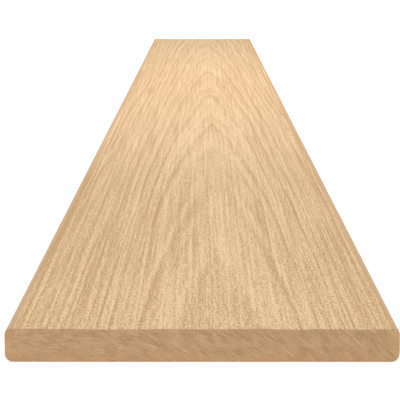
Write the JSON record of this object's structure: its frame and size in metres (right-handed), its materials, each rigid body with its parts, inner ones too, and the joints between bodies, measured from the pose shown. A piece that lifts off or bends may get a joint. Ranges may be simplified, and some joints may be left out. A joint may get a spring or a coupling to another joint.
{
  "type": "composite end trim board",
  "caption": "Flat solid wood-plastic composite end trim board with a wood-grain show face, eased long arrises and square saw-cut ends.",
  "frame": {"origin": "centre of the back face, midway along the board and across its width", "axes": "+X across the width, +Y along the length, +Z out of the grained show face; the board lies on its back"},
  "size_m": [0.14, 2, 0.012],
  "materials": {
    "composite": "matte"
  },
  "bodies": {
    "root": {"end_trim_board": "composite"}
  },
  "joints": []
}
